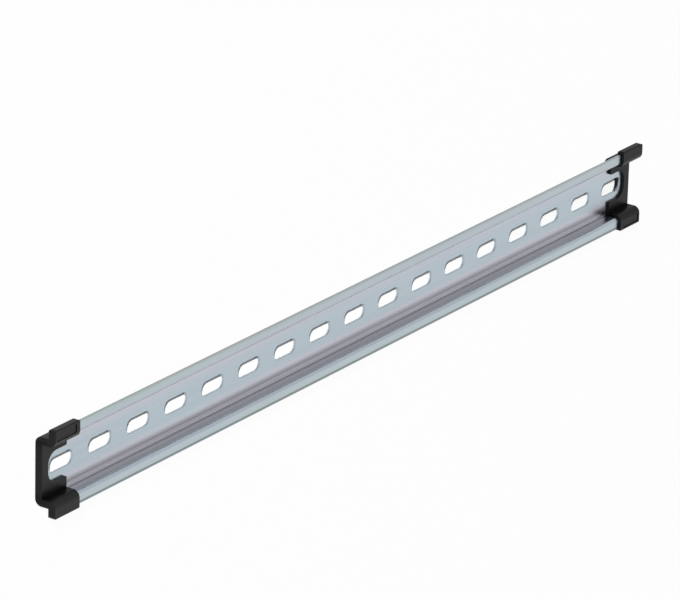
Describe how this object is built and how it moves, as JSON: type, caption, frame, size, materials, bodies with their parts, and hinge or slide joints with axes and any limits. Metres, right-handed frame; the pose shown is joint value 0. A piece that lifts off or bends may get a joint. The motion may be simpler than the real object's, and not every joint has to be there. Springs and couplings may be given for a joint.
{
  "type": "mounting rail",
  "caption": "Perforated top hat mounting rail of formed sheet steel with evenly spaced slots in its web and a moulded cap over each end.",
  "frame": {"origin": "centre of the part's footprint, on the plane of the caps' backs", "axes": "+X along the rail, +Y across it, +Z the way the channel opens"},
  "size_m": [0.4274, 0.0374, 0.0099],
  "materials": {
    "zinc_plated_steel": "satin zinc plate with a faint blue passivation",
    "black_plastic": "fine satin moulding"
  },
  "bodies": {
    "root": {"rail": "zinc_plated_steel", "end_cap_left": "black_plastic", "end_cap_right": "black_plastic"}
  },
  "joints": []
}
